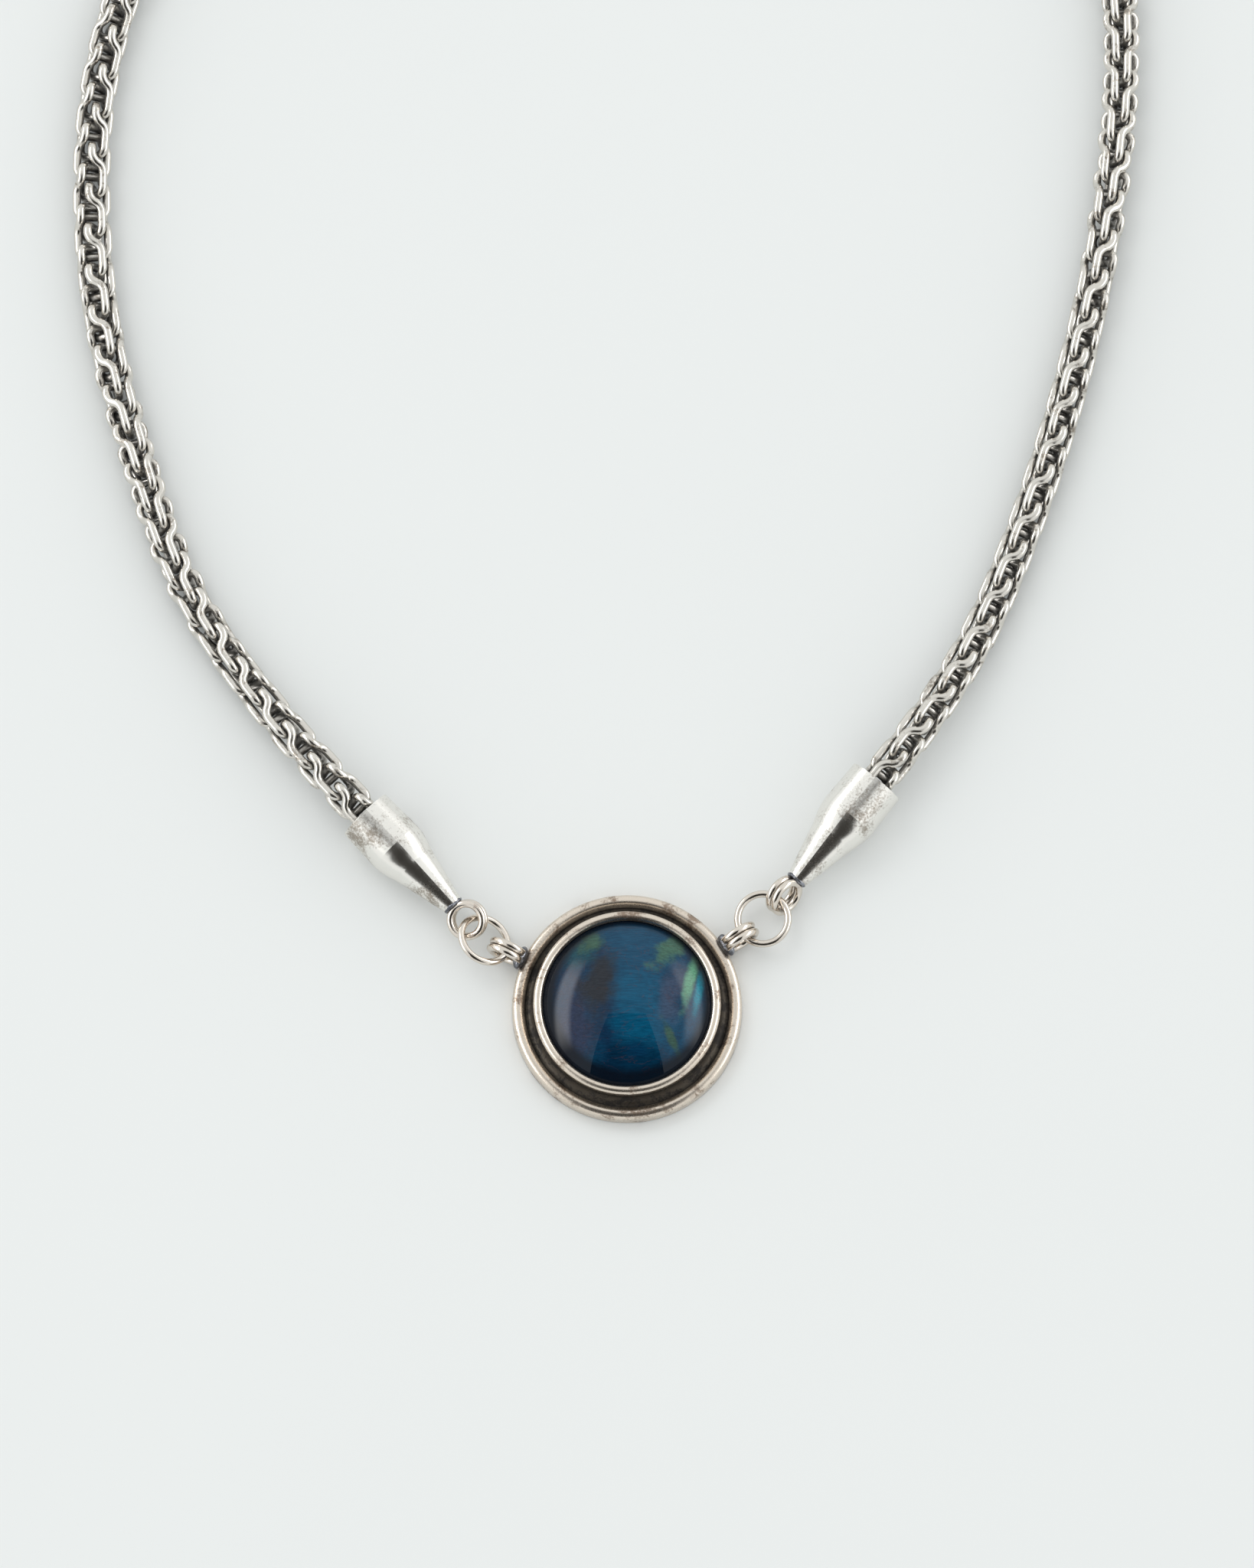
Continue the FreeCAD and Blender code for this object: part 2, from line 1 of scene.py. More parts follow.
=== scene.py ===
# %% [markdown]
# # A pendant necklace in darkened silver
# The construction comes packed as a fixed frame: every link, ring, cap and the stone are already at
# their real size and place, in metres.  This lesson gives them their finish.  It first loads the
# frame.

# %% Load the frame
import bpy
import json
import math
import numpy
from mathutils import Matrix, Vector


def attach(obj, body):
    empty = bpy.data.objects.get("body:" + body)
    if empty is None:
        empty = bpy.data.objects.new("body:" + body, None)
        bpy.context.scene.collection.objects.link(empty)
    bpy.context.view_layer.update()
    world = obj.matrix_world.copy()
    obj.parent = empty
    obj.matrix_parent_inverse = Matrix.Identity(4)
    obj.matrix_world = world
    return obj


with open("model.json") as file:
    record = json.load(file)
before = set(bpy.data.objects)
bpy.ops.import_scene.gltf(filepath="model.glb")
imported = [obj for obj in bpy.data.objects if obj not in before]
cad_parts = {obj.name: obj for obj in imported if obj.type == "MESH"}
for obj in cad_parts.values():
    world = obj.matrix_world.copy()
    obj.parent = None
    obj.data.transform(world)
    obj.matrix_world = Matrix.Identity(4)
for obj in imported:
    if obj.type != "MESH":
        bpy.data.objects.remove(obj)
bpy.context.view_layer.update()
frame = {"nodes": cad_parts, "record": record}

MM = 0.001
nodes = frame["nodes"]
record = frame["record"]


def deselect():
    for shown in bpy.context.selected_objects:
        shown.select_set(False)


# %% [markdown]
# ## The camera
# The necklace lies on a table and is seen from almost straight above, from the side of a person
# who faces it: 77 degrees above the table.  A long lens far away keeps the arms from spreading.
# The view is a little under 148 mm wide and its middle lies above the pendant, so the two arms
# leave the frame at the top.  Only the arms' far ends are out of sight.

# %% Camera
camera_rise = math.radians(77.0)
camera_distance = 2.5
view_width = 147.6 * MM
view_shape = 1638 / 2048
view_middle = Vector((0.0, 27.3 * MM, 0.0))
to_camera = Vector((0.0, -math.cos(camera_rise), math.sin(camera_rise)))

camera_data = bpy.data.cameras.new("camera")
camera = bpy.data.objects.new("camera", camera_data)
bpy.context.scene.collection.objects.link(camera)
camera.location = view_middle + to_camera * camera_distance
camera.rotation_euler = (math.pi / 2 - camera_rise, 0.0, 0.0)
camera_data.sensor_fit = "AUTO"
camera_data.sensor_width = 36.0
camera_data.lens = camera_data.sensor_width * camera_distance / (view_width / view_shape)
camera_data.clip_start = 0.01
camera_data.clip_end = 20.0
bpy.context.scene.camera = camera
bpy.context.scene.view_settings.view_transform = "Standard"
print("lens", round(camera_data.lens, 1), "mm")

# %% [markdown]
# ## Building materials by hand
# Every finish is a network of nodes.  These few helpers keep the lessons below short: one adds a
# node, one links two sockets, and one starts a material with a Principled shader on its own.

# %% Helpers for nodes


def add_node(tree, kind, **values):
    """A new node; a value whose name is a socket goes to that socket, any other is a property."""
    made = tree.nodes.new(kind)
    for name, value in values.items():
        label = name.replace("_", " ")
        if label in made.inputs:
            made.inputs[label].default_value = value
        else:
            setattr(made, name, value)
    return made


def link(tree, output, socket):
    tree.links.new(output, socket)


def maths(tree, operation, first, second=None, clamp=False):
    """One Math node; each side is a number or another node's output."""
    made = tree.nodes.new("ShaderNodeMath")
    made.operation = operation
    made.use_clamp = clamp
    for socket, side in zip(made.inputs, (first, second)):
        if side is None:
            continue
        if isinstance(side, (int, float)):
            socket.default_value = side
        else:
            link(tree, side, socket)
    return made.outputs[0]


def mix_colour(tree, factor, low, high, blend="MIX"):
    """One colour Mix node; each colour is a triple or another node's output."""
    made = tree.nodes.new("ShaderNodeMix")
    made.data_type = "RGBA"
    made.blend_type = blend
    sides = ((made.inputs[0], factor), (made.inputs[6], low), (made.inputs[7], high))
    for socket, side in sides:
        if isinstance(side, (int, float)):
            socket.default_value = side
        elif isinstance(side, tuple):
            socket.default_value = (*side, 1.0)
        else:
            link(tree, side, socket)
    return made.outputs[2]


def ramp(tree, value, low, high):
    """0 below low, 1 above high, and smooth between: a soft threshold."""
    made = add_node(tree, "ShaderNodeMapRange", interpolation_type="SMOOTHSTEP")
    link(tree, value, made.inputs[0])
    made.inputs[1].default_value = low
    made.inputs[2].default_value = high
    return made.outputs[0]


def noise(tree, place, scale, detail=4.0, roughness=0.55, distortion=0.0):
    made = add_node(tree, "ShaderNodeTexNoise", Scale=scale, Detail=detail, Roughness=roughness,
                    Distortion=distortion)
    link(tree, place, made.inputs["Vector"])
    return made.outputs[0]


def new_material(name):
    made = bpy.data.materials.new(name)
    made.use_nodes = True
    made.node_tree.nodes.clear()
    tree = made.node_tree
    shader = tree.nodes.new("ShaderNodeBsdfPrincipled")
    output = tree.nodes.new("ShaderNodeOutputMaterial")
    link(tree, shader.outputs[0], output.inputs[0])
    return made, tree, shader


def new_group(name, inputs, outputs):
    """A node group with named sockets; gives the tree and its two end nodes."""
    tree = bpy.data.node_groups.new(name, "ShaderNodeTree")
    kinds = {"value": "NodeSocketFloat", "colour": "NodeSocketColor", "vector": "NodeSocketVector"}
    for label, kind, default in inputs:
        socket = tree.interface.new_socket(label, in_out="INPUT", socket_type=kinds[kind])
        if default is not None:
            socket.default_value = default
    for label, kind in outputs:
        tree.interface.new_socket(label, in_out="OUTPUT", socket_type=kinds[kind])
    return tree, tree.nodes.new("NodeGroupInput"), tree.nodes.new("NodeGroupOutput")


def put_group(tree, group, **values):
    made = tree.nodes.new("ShaderNodeGroup")
    made.node_tree = group
    for name, value in values.items():
        made.inputs[name.replace("_", " ")].default_value = value
    return made


print("helpers ready")

# %% [markdown]
# ## Old silver
# Silver darkens with sulphide.  On a piece like this the maker blackens it all over and then
# polishes what stands out, so the darkness stays in the hollows and as soft brown-grey clouds with
# a grainy edge on the skin.  Two things make that here: a mask of how hidden each spot is, taken
# from ambient occlusion, and a cloud of noise broken up by a finer grain.  Because caps, rings,
# chain and pendant all need it at different strengths, it is a node group.

# %% The tarnish group


def make_tarnish():
    tree, start, end = new_group(
        "tarnish",
        [("Cloud Scale", "value", 250.0), ("Cloud Amount", "value", 0.3),
         ("Grain Scale", "value", 3500.0),
         ("Recess Reach", "value", 1.2 * MM), ("Recess Amount", "value", 1.0),
         ("Bright", "colour", (0.8, 0.78, 0.74, 1)), ("Cloud", "colour", (0.35, 0.31, 0.27, 1)),
         ("Dark", "colour", (0.03, 0.028, 0.027, 1))],
        [("Color", "colour"), ("Dullness", "value"), ("Height", "value"), ("Recess", "value")])
    place = tree.nodes.new("ShaderNodeTexCoord").outputs["Object"]
    grain = add_node(tree, "ShaderNodeTexNoise", Detail=3.0, Roughness=0.7)
    link(tree, place, grain.inputs["Vector"])
    link(tree, start.outputs["Grain Scale"], grain.inputs["Scale"])
    cloud = add_node(tree, "ShaderNodeTexNoise", Detail=3.0, Roughness=0.6, Distortion=0.4)
    link(tree, place, cloud.inputs["Vector"])
    link(tree, start.outputs["Cloud Scale"], cloud.inputs["Scale"])
    grainy = maths(tree, "ADD", cloud.outputs[0], maths(tree, "MULTIPLY",
                   maths(tree, "SUBTRACT", grain.outputs[0], 0.5), 0.55))
    lowered = maths(tree, "MULTIPLY", start.outputs["Cloud Amount"], 0.5)
    threshold = maths(tree, "SUBTRACT", 0.82, lowered)
    over = maths(tree, "MULTIPLY", maths(tree, "SUBTRACT", grainy, threshold), 7.0)
    clouds = maths(tree, "MULTIPLY", maths(tree, "MAXIMUM", over, 0.0), 1.0, clamp=True)
    hidden = add_node(tree, "ShaderNodeAmbientOcclusion", samples=8)
    link(tree, start.outputs["Recess Reach"], hidden.inputs["Distance"])
    open_sky = maths(tree, "ADD", hidden.outputs["AO"], maths(tree, "MULTIPLY",
                     maths(tree, "SUBTRACT", grain.outputs[0], 0.5), 0.35))
    recess = maths(tree, "MULTIPLY", maths(tree, "SUBTRACT", 1.0, ramp(tree, open_sky, 0.12, 0.72)),
                   start.outputs["Recess Amount"], clamp=True)
    skin = mix_colour(tree, clouds, start.outputs["Bright"], start.outputs["Cloud"])
    colour = mix_colour(tree, recess, skin, start.outputs["Dark"])
    dullness = maths(tree, "ADD", maths(tree, "MULTIPLY", clouds, 0.5), recess, clamp=True)
    height = maths(tree, "SUBTRACT", maths(tree, "MULTIPLY", grain.outputs[0], 0.4),
                   maths(tree, "MULTIPLY", clouds, 0.3))
    outputs = {"Color": colour, "Dullness": dullness, "Height": height, "Recess": recess}
    for name, output in outputs.items():
        link(tree, output, end.inputs[name])
    return tree


tarnish = make_tarnish()
print("tarnish group has", len(tarnish.nodes), "nodes")

# %% [markdown]
# ## Handling marks
# Polished silver that has been worn carries hair scratches in every direction and a slow unevenness
# left by the polishing cloth.  Stretched noise laid in two directions gives the scratches, and a
# large soft noise gives the unevenness.  Both go to roughness and to a very shallow bump.

# %% The handling group


def make_handling():
    tree, start, end = new_group(
        "handling", [("Scale", "value", 900.0), ("Scratches", "value", 0.5)],
        [("Roughness", "value"), ("Height", "value")])
    place = tree.nodes.new("ShaderNodeTexCoord").outputs["Object"]
    marks = None
    for turn in (0.6, -0.9):
        turned = add_node(tree, "ShaderNodeMapping", Rotation=(0.3, 0.2, turn), Scale=(1.0, 0.05, 1.0))
        link(tree, place, turned.inputs["Vector"])
        hair = add_node(tree, "ShaderNodeTexNoise", Detail=4.0, Roughness=0.75)
        link(tree, turned.outputs[0], hair.inputs["Vector"])
        link(tree, maths(tree, "MULTIPLY", start.outputs["Scale"], 9.0), hair.inputs["Scale"])
        line = ramp(tree, hair.outputs[0], 0.62, 0.74)
        marks = line if marks is None else maths(tree, "MAXIMUM", marks, line)
    slow = add_node(tree, "ShaderNodeTexNoise", Detail=2.0, Roughness=0.5)
    link(tree, place, slow.inputs["Vector"])
    link(tree, start.outputs["Scale"], slow.inputs["Scale"])
    scored = maths(tree, "MULTIPLY", marks, start.outputs["Scratches"])
    roughness = maths(tree, "ADD", maths(tree, "MULTIPLY", slow.outputs[0], 0.5),
                      maths(tree, "MULTIPLY", scored, 0.5), clamp=True)
    height = maths(tree, "SUBTRACT", slow.outputs[0], maths(tree, "MULTIPLY", scored, 0.35))
    link(tree, roughness, end.inputs["Roughness"])
    link(tree, height, end.inputs["Height"])
    return tree


handling = make_handling()
print("handling group has", len(handling.nodes), "nodes")

# %% [markdown]
# ## One recipe for every silver
# A silver is the two groups above on a metallic Principled shader.  What differs from piece to
# piece is given by name: how bright and how warm it is, how cloudy, how dark its hollows are, and
# how smooth the polish was.

# %% Silver recipe


def make_silver(name, bright, cloud, dark, cloud_scale, cloud_amount, reach, recess, smooth, dull,
                bump_depth, scratches=0.5, grain_scale=3500.0):
    made, tree, shader = new_material(name)
    skin = put_group(tree, tarnish, Cloud_Scale=cloud_scale, Cloud_Amount=cloud_amount,
                     Grain_Scale=grain_scale, Recess_Reach=reach, Recess_Amount=recess,
                     Bright=(*bright, 1), Cloud=(*cloud, 1), Dark=(*dark, 1))
    marks = put_group(tree, handling, Scale=900.0, Scratches=scratches)
    link(tree, skin.outputs["Color"], shader.inputs["Base Color"])
    worn = maths(tree, "MULTIPLY", marks.outputs["Roughness"], 0.12)
    polish = maths(tree, "ADD", maths(tree, "MULTIPLY", skin.outputs["Dullness"], dull - smooth), smooth)
    link(tree, maths(tree, "ADD", polish, worn, clamp=True), shader.inputs["Roughness"])
    metal = maths(tree, "SUBTRACT", 1.0, maths(tree, "MULTIPLY", skin.outputs["Recess"], 0.35))
    link(tree, metal, shader.inputs["Metallic"])
    bump = add_node(tree, "ShaderNodeBump", Strength=1.0, Distance=bump_depth)
    relief = maths(tree, "ADD", skin.outputs["Height"], marks.outputs["Height"])
    link(tree, relief, bump.inputs["Height"])
    link(tree, bump.outputs[0], shader.inputs["Normal"])
    return made


cap_silver = make_silver("cap_silver", bright=(0.85, 0.83, 0.785), cloud=(0.36, 0.32, 0.275),
                         dark=(0.05, 0.05, 0.055), cloud_scale=170.0, cloud_amount=0.55, reach=0.8 * MM,
                         recess=0.9, smooth=0.17, dull=0.42, bump_depth=0.012 * MM)
ring_silver = make_silver("ring_silver", bright=(0.72, 0.66, 0.59), cloud=(0.38, 0.29, 0.235),
                          dark=(0.06, 0.055, 0.05), cloud_scale=420.0, cloud_amount=0.35, reach=0.7 * MM,
                          recess=0.9, smooth=0.13, dull=0.40, bump_depth=0.010 * MM)
chain_silver = make_silver("chain_silver", bright=(0.69, 0.66, 0.61), cloud=(0.30, 0.265, 0.225),
                           dark=(0.035, 0.032, 0.03), cloud_scale=520.0, cloud_amount=0.50,
                           reach=2.2 * MM, recess=1.0, smooth=0.17, dull=0.45, bump_depth=0.010 * MM)
pendant_silver = make_silver("pendant_silver", bright=(0.72, 0.64, 0.55), cloud=(0.30, 0.23, 0.18),
                             dark=(0.055, 0.045, 0.04), cloud_scale=300.0, cloud_amount=0.58,
                             reach=1.3 * MM, recess=0.8, smooth=0.24, dull=0.50, bump_depth=0.016 * MM)
channel_silver = make_silver("channel_silver", bright=(0.19, 0.17, 0.145), cloud=(0.075, 0.07, 0.066),
                             dark=(0.02, 0.018, 0.017), cloud_scale=600.0, cloud_amount=0.75,
                             reach=1.5 * MM, recess=0.9, smooth=0.38, dull=0.65, bump_depth=0.03 * MM)
clasp_silver = make_silver("clasp_silver", bright=(0.85, 0.82, 0.77), cloud=(0.42, 0.37, 0.32),
                           dark=(0.05, 0.045, 0.04), cloud_scale=350.0, cloud_amount=0.35,
                           reach=0.8 * MM, recess=0.9, smooth=0.12, dull=0.42, bump_depth=0.012 * MM)
solder_grey = make_silver("solder_grey", bright=(0.30, 0.31, 0.34), cloud=(0.13, 0.135, 0.15),
                          dark=(0.02, 0.02, 0.022), cloud_scale=900.0, cloud_amount=0.8,
                          reach=0.6 * MM, recess=0.8, smooth=0.30, dull=0.6, bump_depth=0.05 * MM,
                          grain_scale=2200.0)
print("silvers made")

# %% [markdown]
# ## The stone
# The stone is a dark feldspar that flashes: thin layers inside it send back blue, teal and, at some
# places, green or yellow.  The flashes are painted as soft oval patches with their edges broken by
# noise, over a base that runs from charcoal to deep blue, with fine streaks across and a few brown
# veins.  Not every patch is a flash: the stone is also darker towards the bottom, one small dark patch
# low on it is a painted shadow, and a dark ring painted round its edge, wider at the lower left, is
# painted shade.  Over all of it lies a clear polished skin, which is a full coat on the shader.

# %% The patch group, for the flashes and a painted shadow


def make_flash_and_shadow_patch():
    """A mask: 1 inside a turned oval whose edge is broken up, fading to 0 outside it."""
    tree, start, end = new_group(
        "flash_and_shadow_patch", [("Place", "vector", (0, 0, 0)), ("Centre", "vector", (0, 0, 0)),
                  ("Size", "vector", (2 * MM, 2 * MM, 1.0)), ("Turn", "value", 0.0),
                  ("Raggedness", "value", 0.5)],
        [("Mask", "value")])
    shift = add_node(tree, "ShaderNodeVectorMath", operation="SUBTRACT")
    link(tree, start.outputs["Place"], shift.inputs[0])
    link(tree, start.outputs["Centre"], shift.inputs[1])
    turn = add_node(tree, "ShaderNodeVectorRotate", rotation_type="Z_AXIS")
    link(tree, shift.outputs[0], turn.inputs["Vector"])
    link(tree, start.outputs["Turn"], turn.inputs["Angle"])
    sized = add_node(tree, "ShaderNodeVectorMath", operation="DIVIDE")
    link(tree, turn.outputs[0], sized.inputs[0])
    link(tree, start.outputs["Size"], sized.inputs[1])
    flat = add_node(tree, "ShaderNodeVectorMath", operation="MULTIPLY")
    flat.inputs[1].default_value = (1, 1, 0)
    link(tree, sized.outputs[0], flat.inputs[0])
    length = add_node(tree, "ShaderNodeVectorMath", operation="LENGTH")
    link(tree, flat.outputs[0], length.inputs[0])
    broken = noise(tree, start.outputs["Place"], 420.0, 5.0, 0.6)
    edge = maths(tree, "MULTIPLY", maths(tree, "SUBTRACT", broken, 0.5), start.outputs["Raggedness"])
    reach = maths(tree, "ADD", length.outputs["Value"], maths(tree, "MULTIPLY", edge, 2.0))
    link(tree, maths(tree, "SUBTRACT", 1.0, ramp(tree, reach, 0.35, 1.15)), end.inputs["Mask"])
    return tree


flash_and_shadow_patch = make_flash_and_shadow_patch()


def make_stone():
    made, tree, shader = new_material("flashing_stone")
    place = tree.nodes.new("ShaderNodeTexCoord").outputs["Object"]
    slow = noise(tree, place, 130.0, 4.0, 0.55, 0.6)
    colour = mix_colour(tree, ramp(tree, slow, 0.35, 0.62), (0.006, 0.026, 0.062), (0.004, 0.052, 0.110))
    # name, middle in mm, half size in mm, turn in degrees, raggedness, colour, strength
    patches = [
        ("teal_middle", (1.4, -1.0), (4.0, 8.4), -8, 0.7, (0.003, 0.075, 0.150), 0.95),
        ("blue_top", (1.4, 5.8), (4.6, 3.6), 20, 0.7, (0.008, 0.062, 0.125), 0.9),
        ("violet_left", (-6.2, -2.6), (2.6, 5.5), 5, 0.6, (0.022, 0.032, 0.070), 0.9),
        ("charcoal", (-3.3, 1.8), (2.5, 5.2), 12, 0.9, (0.022, 0.024, 0.030), 0.95),
        ("slate_right", (5.2, 0.6), (1.5, 4.4), 10, 0.9, (0.042, 0.066, 0.120), 0.8),
        ("teal_left", (-5.4, 5.6), (2.6, 2.0), -35, 0.6, (0.008, 0.060, 0.085), 0.9),
        ("green_left", (-4.2, 6.9), (2.3, 1.3), -32, 1.0, (0.050, 0.110, 0.070), 0.85),
        ("green_top_right", (5.0, 6.3), (1.5, 3.4), 42, 1.0, (0.065, 0.150, 0.095), 0.85),
        ("green_edge", (7.5, 2.8), (0.8, 4.4), 14, 0.6, (0.120, 0.330, 0.200), 0.9),
        ("cyan_edge", (8.5, 1.6), (0.6, 3.8), 10, 0.4, (0.010, 0.240, 0.330), 0.85),
        ("green_low_right", (5.2, -4.6), (0.6, 2.6), -26, 1.0, (0.045, 0.100, 0.050), 0.7),
        ("deep_low", (0.6, -7.2), (5.5, 2.6), 0, 0.6, (0.001, 0.016, 0.040), 0.85),
        # The next patch is no flash but a painted shadow: a small dark-blue patch low on the stone.
        ("painted_shadow_low", (1.2, -6.0), (1.8, 1.1), 0, 0.2, (0.002, 0.030, 0.075), 0.8),
    ]
    for name, centre, size, turn, ragged, tint, strength in patches:
        patch = put_group(tree, flash_and_shadow_patch, Centre=(centre[0] * MM, centre[1] * MM, 0.0),
                          Size=(size[0] * MM, size[1] * MM, 1.0), Turn=math.radians(turn),
                          Raggedness=ragged)
        patch.name = name
        link(tree, place, patch.inputs["Place"])
        colour = mix_colour(tree, maths(tree, "MULTIPLY", patch.outputs[0], strength), colour, tint)
    streaked = add_node(tree, "ShaderNodeMapping", Rotation=(0, 0, math.radians(35)),
                        Scale=(0.12, 1.0, 1.0))
    link(tree, place, streaked.inputs["Vector"])
    streaks = noise(tree, streaked.outputs[0], 5200.0, 4.0, 0.7)
    colour = mix_colour(tree, 0.55, colour, mix_colour(tree, ramp(tree, streaks, 0.3, 0.7),
                        (0.55, 0.55, 0.6), (1.45, 1.45, 1.4)), "MULTIPLY")
    veins = add_node(tree, "ShaderNodeMapping", Rotation=(0, 0, math.radians(-40)),
                     Scale=(0.35, 1.0, 1.0))
    link(tree, place, veins.inputs["Vector"])
    vein_noise = noise(tree, veins.outputs[0], 330.0, 5.0, 0.62, 0.8)
    from_middle = maths(tree, "ABSOLUTE", maths(tree, "SUBTRACT", vein_noise, 0.5))
    vein = maths(tree, "SUBTRACT", 1.0, ramp(tree, from_middle, 0.0, 0.009))
    colour = mix_colour(tree, maths(tree, "MULTIPLY", vein, 0.22), colour, (0.10, 0.035, 0.022))
    # Painted shade: a dark ring painted round the stone's edge, wider at the lower left, stands in for
    # the shade on the dome's edge.
    from_shade_centre = add_node(tree, "ShaderNodeVectorMath", operation="ADD")
    from_shade_centre.inputs[1].default_value = (-0.25 * MM, -0.45 * MM, 0.0)
    link(tree, place, from_shade_centre.inputs[0])
    flat = add_node(tree, "ShaderNodeVectorMath", operation="MULTIPLY")
    flat.inputs[1].default_value = (1, 1, 0)
    link(tree, from_shade_centre.outputs[0], flat.inputs[0])
    radius = add_node(tree, "ShaderNodeVectorMath", operation="LENGTH")
    link(tree, flat.outputs[0], radius.inputs[0])
    rim = ramp(tree, radius.outputs["Value"], 8.1 * MM, 9.3 * MM)
    colour = mix_colour(tree, maths(tree, "MULTIPLY", rim, 0.93), colour, (0.003, 0.005, 0.010))
    link(tree, colour, shader.inputs["Base Color"])
    shader.inputs["Roughness"].default_value = 0.45
    shader.inputs["Specular IOR Level"].default_value = 0.0
    shader.inputs["Coat Weight"].default_value = 1.0
    shader.inputs["Coat Roughness"].default_value = 0.02
    shader.inputs["Coat IOR"].default_value = 1.30
    bump = add_node(tree, "ShaderNodeBump", Strength=0.4, Distance=0.01 * MM)
    link(tree, streaks, bump.inputs["Height"])
    link(tree, bump.outputs[0], shader.inputs["Normal"])
    return made


flashing_stone = make_stone()
print("stone made with", len(flashing_stone.node_tree.nodes), "nodes")

# %% [markdown]
# ## Dressing the frame
# Each node of the frame gets the finish of what it is.  The rule goes by the piece's own name, so
# the twenty stretches of chain need no list.

# %% Give every node its finish


def finish_for(name):
    if name == "stone":
        return flashing_stone
    if name == "cove_ring":
        return channel_silver
    if name in ("back_plate", "border_ring", "bezel", "stone_bed"):
        return pendant_silver
    if name.endswith("_cap"):
        return cap_silver
    if name.startswith("clasp"):
        return clasp_silver
    if "chain_run" in name or name.endswith("_cap_links"):
        return chain_silver
    return ring_silver


for name, node in nodes.items():
    node.data.materials.clear()
    node.data.materials.append(finish_for(name))
print("dressed", len(nodes), "nodes")

# %% [markdown]
# ## Solder at the joins
# The eyes are soldered into the necks of the caps and the lugs to the rim of the pendant.  A little
# solder always flows out and stays dull and lumpy, because no wheel reaches it.  On the bench it is
# a paste or a cut chip melted with a torch.  Here a bead starts as a torus or a ball, is shaken up
# vertex by vertex, and then lies where the construction says the two pieces meet.

# %% Solder beads


def points_of(name):
    node = nodes[name]
    return numpy.array([node.matrix_world @ vertex.co for vertex in node.data.vertices])


def neck_of(cap_name):
    """The neck end of a cap: its place and the direction from there to the cap's mouth."""
    cloud = points_of(cap_name)
    middle = cloud.mean(axis=0)
    along = numpy.linalg.svd(cloud - middle, full_matrices=False)[2][0]
    reach = (cloud - middle) @ along
    ends = []
    for side in (reach.min(), reach.max()):
        rim = cloud[abs(reach - side) < 0.3 * MM]
        ends.append((numpy.linalg.norm(rim - rim.mean(axis=0), axis=1).mean(), rim.mean(axis=0)))
    ends.sort(key=lambda end: end[0])
    neck, mouth = Vector(ends[0][1]), Vector(ends[1][1])
    return neck, (mouth - neck).normalized()


def shaken(bead, name, amount, seed, body):
    """Makes the fresh primitive lumpy, smooths it, gives it its finish and lets it ride."""
    bead.name = name
    bpy.ops.object.transform_apply(location=True, rotation=True, scale=True)
    bpy.ops.object.mode_set(mode="EDIT")
    bpy.ops.mesh.select_all(action="SELECT")
    bpy.ops.transform.vertex_random(offset=amount, uniform=0.2, normal=0.8, seed=seed)
    bpy.ops.mesh.vertices_smooth(factor=0.5, repeat=2)
    bpy.ops.object.mode_set(mode="OBJECT")
    bpy.ops.object.shade_smooth()
    bead.data.materials.append(solder_grey)
    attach(bead, body)
    return bead


collar_radius = 1.02 * MM
collar_thickness = 0.30 * MM
collar_lumps = 0.13 * MM
bead_size = (0.75 * MM, 1.45 * MM, 1.0 * MM)
bead_lumps = 0.12 * MM
bead_set_in = 0.2 * MM
root_depth = 0.9 * MM
beads = []
cap_names = ("left_front_cap", "right_front_cap", "left_back_cap", "right_back_cap")
for seed, cap_name in enumerate(cap_names):
    neck, to_mouth = neck_of(cap_name)
    deselect()
    bpy.ops.mesh.primitive_torus_add(location=neck, rotation=to_mouth.to_track_quat("Z", "Y").to_euler(),
                                     major_radius=collar_radius, minor_radius=collar_thickness,
                                     major_segments=36, minor_segments=12)
    beads.append(shaken(bpy.context.active_object, cap_name + "_solder", collar_lumps, seed, cap_name))

for seed, lug_name in enumerate(("left_lug", "right_lug")):
    cloud = points_of(lug_name)
    from_middle = numpy.hypot(cloud[:, 0], cloud[:, 1])
    root = Vector(cloud[from_middle < from_middle.min() + root_depth].mean(axis=0))
    outwards = Vector((root.x, root.y, 0.0)).normalized()
    place = root - outwards * bead_set_in
    deselect()
    bpy.ops.mesh.primitive_uv_sphere_add(segments=32, ring_count=16, radius=1.0, location=place,
                                         rotation=(0.0, 0.0, math.atan2(outwards.y, outwards.x)),
                                         scale=bead_size)
    beads.append(shaken(bpy.context.active_object, lug_name + "_solder", bead_lumps, seed + 10,
                        "pendant"))
print("solder beads", [bead.name for bead in beads])

# %% [markdown]
# ## The table and the light
# The necklace lies on a pale matt board in a soft white tent.  Polished metal is a picture of what
# stands round it, so the tent matters as much as the finish: bright sides, a dimmer top where the
# camera looks in, and a dark opening in front.  The opening draws the black slits along the wires
# and the long dark patch on each cone.  Two glowing windows draw the arcs in the stone, and one
# lamp, which metal doesn't mirror, casts the soft shadow.

# %% Board, tent and lamp


def pale_board():
    made, tree, shader = new_material("pale_board")
    place = tree.nodes.new("ShaderNodeTexCoord").outputs["Object"]
    tone = noise(tree, place, 12.0, 2.0)
    colour = mix_colour(tree, tone, (0.850, 0.866, 0.860), (0.868, 0.884, 0.878))
    link(tree, colour, shader.inputs["Base Color"])
    shader.inputs["Roughness"].default_value = 0.9
    shader.inputs["Specular IOR Level"].default_value = 0.1
    return made


deselect()
bpy.ops.mesh.primitive_plane_add(size=6.0, location=(0.0, 0.05, -0.0001))
board = bpy.context.active_object
board.name = "board"
board.data.materials.append(pale_board())


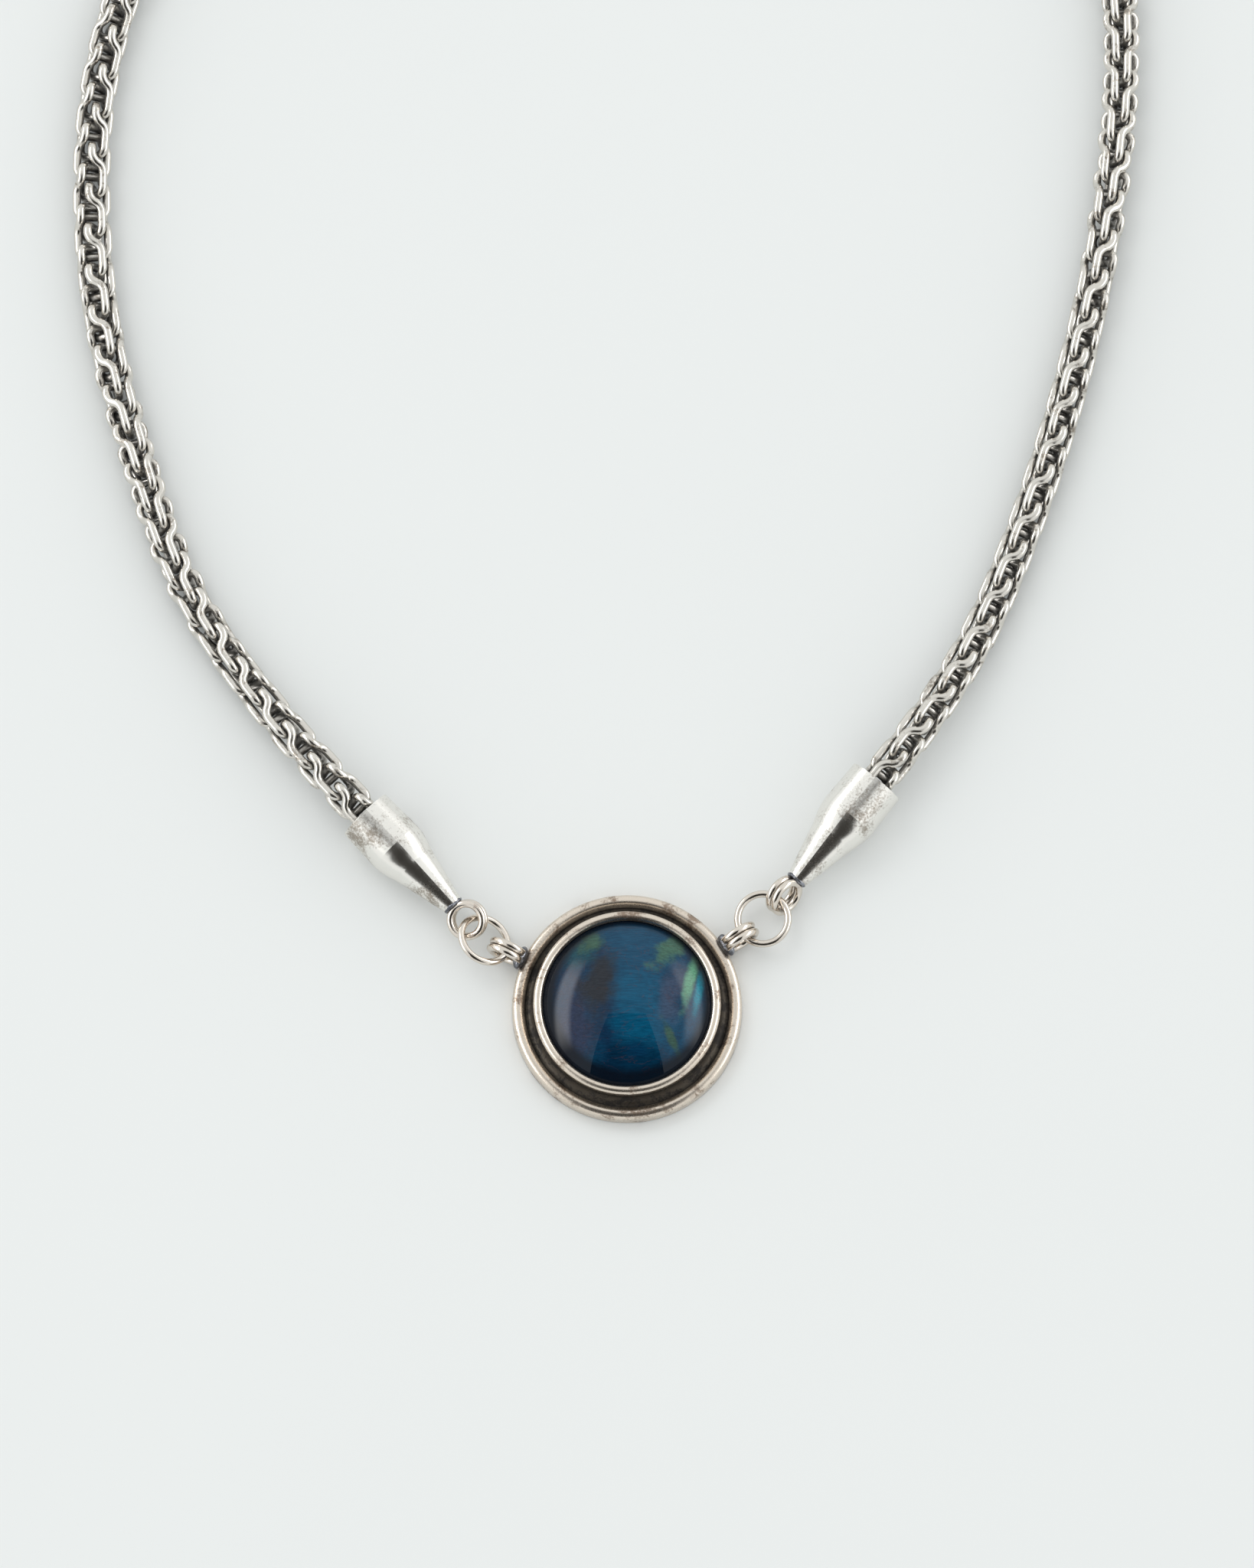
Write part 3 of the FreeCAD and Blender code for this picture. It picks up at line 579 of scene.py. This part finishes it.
def dark_card():
    made, tree, shader = new_material("dark_card")
    shader.inputs["Base Color"].default_value = (0.030, 0.026, 0.022, 1)
    shader.inputs["Roughness"].default_value = 0.9
    shader.inputs["Specular IOR Level"].default_value = 0.0
    return made


def direction_to(azimuth, rise):
    """The direction from the pendant to something seen at these angles, in degrees."""
    a, e = math.radians(azimuth), math.radians(rise)
    return Vector((math.cos(e) * math.cos(a), math.cos(e) * math.sin(a), math.sin(e)))


def hang(name, edges, distance, azimuth, rise, material):
    """A flat sheet hung facing the pendant, which only polished things mirror.

    The edges are (half width of the lower edge, its height, half width of the upper edge, its height).
    """
    low_half, low, high_half, high = edges
    deselect()
    bpy.ops.mesh.primitive_plane_add(size=2.0, location=(0, 0, 0))
    sheet = bpy.context.active_object
    sheet.name = name
    for vertex in sheet.data.vertices:
        right, top = vertex.co.x > 0, vertex.co.y > 0
        half_width = high_half if top else low_half
        vertex.co = Vector((half_width if right else -half_width, high if top else low, 0))
    away = direction_to(azimuth, rise)
    across = away.cross(Vector((0, 0, 1))).normalized()
    up = across.cross(away).normalized()
    turn = Matrix((across, up, -away)).transposed().to_4x4()
    sheet.data.transform(Matrix.Translation(away * distance) @ turn)
    sheet.data.materials.append(material)
    sheet.visible_camera = False
    sheet.visible_shadow = False
    sheet.visible_diffuse = False
    return sheet


def glowing_window(name, strength):
    """Light through cloth: even in the middle and fading to nothing at the edges."""
    made = bpy.data.materials.new(name)
    made.use_nodes = True
    tree = made.node_tree
    tree.nodes.clear()
    uv = tree.nodes.new("ShaderNodeTexCoord").outputs["UV"]
    split = tree.nodes.new("ShaderNodeSeparateXYZ")
    link(tree, uv, split.inputs[0])
    edges = []
    for part in ("X", "Y"):
        from_middle = maths(tree, "ABSOLUTE", maths(tree, "SUBTRACT", split.outputs[part], 0.5))
        edges.append(maths(tree, "SUBTRACT", 1.0, ramp(tree, from_middle, 0.18, 0.5)))
    mask = maths(tree, "MULTIPLY", edges[0], edges[1])
    glow = add_node(tree, "ShaderNodeEmission", Strength=strength)
    clear = tree.nodes.new("ShaderNodeBsdfTransparent")
    mixed = tree.nodes.new("ShaderNodeMixShader")
    link(tree, mask, mixed.inputs[0])
    link(tree, clear.outputs[0], mixed.inputs[1])
    link(tree, glow.outputs[0], mixed.inputs[2])
    output = tree.nodes.new("ShaderNodeOutputMaterial")
    link(tree, mixed.outputs[0], output.inputs[0])
    return made


hang("tent_opening", (0.46, -0.38, 0.25, 0.48), 0.7, -90, 53, dark_card())
hang("left_window", (0.75, -0.17, 0.75, 0.17), 0.9, 168, 31, glowing_window("left_glow", 6.5))
hang("right_window", (0.70, -0.20, 0.70, 0.20), 0.9, 12, 29, glowing_window("right_glow", 4.5))

world = bpy.data.worlds.new("tent")
bpy.context.scene.world = world
world.use_nodes = True
sky = world.node_tree
sky.nodes.clear()
direction = sky.nodes.new("ShaderNodeTexCoord").outputs["Generated"]
towards_lens = add_node(sky, "ShaderNodeVectorMath", operation="DOT_PRODUCT")
link(sky, direction, towards_lens.inputs[0])
towards_lens.inputs[1].default_value = to_camera
overhead = ramp(sky, towards_lens.outputs["Value"], 0.86, 0.99)
tent_colour = mix_colour(sky, overhead, (0.90, 0.918, 0.915), (0.55, 0.557, 0.555))
tent_light = add_node(sky, "ShaderNodeBackground", Strength=1.06)
link(sky, tent_colour, tent_light.inputs["Color"])
page = add_node(sky, "ShaderNodeBackground", Strength=1.0)
page.inputs["Color"].default_value = (0.845, 0.868, 0.862, 1)
seen = sky.nodes.new("ShaderNodeLightPath")
choose = sky.nodes.new("ShaderNodeMixShader")
link(sky, seen.outputs["Is Camera Ray"], choose.inputs[0])
link(sky, tent_light.outputs[0], choose.inputs[1])
link(sky, page.outputs[0], choose.inputs[2])
world_output = sky.nodes.new("ShaderNodeOutputWorld")
link(sky, choose.outputs[0], world_output.inputs[0])

key_power = 1.3
key_size = 0.5
key_distance = 1.2
key_direction = direction_to(130, 52)
key_data = bpy.data.lights.new("key", "AREA")
key_data.shape = "RECTANGLE"
key_data.size = key_size
key_data.size_y = key_size
key_data.energy = key_power
key = bpy.data.objects.new("key", key_data)
key.location = key_direction * key_distance + Vector((0, 0.03, 0))
key.rotation_euler = key_direction.to_track_quat("Z", "Y").to_euler()
key.visible_glossy = False
bpy.context.scene.collection.objects.link(key)
print("board, tent and lamp ready")
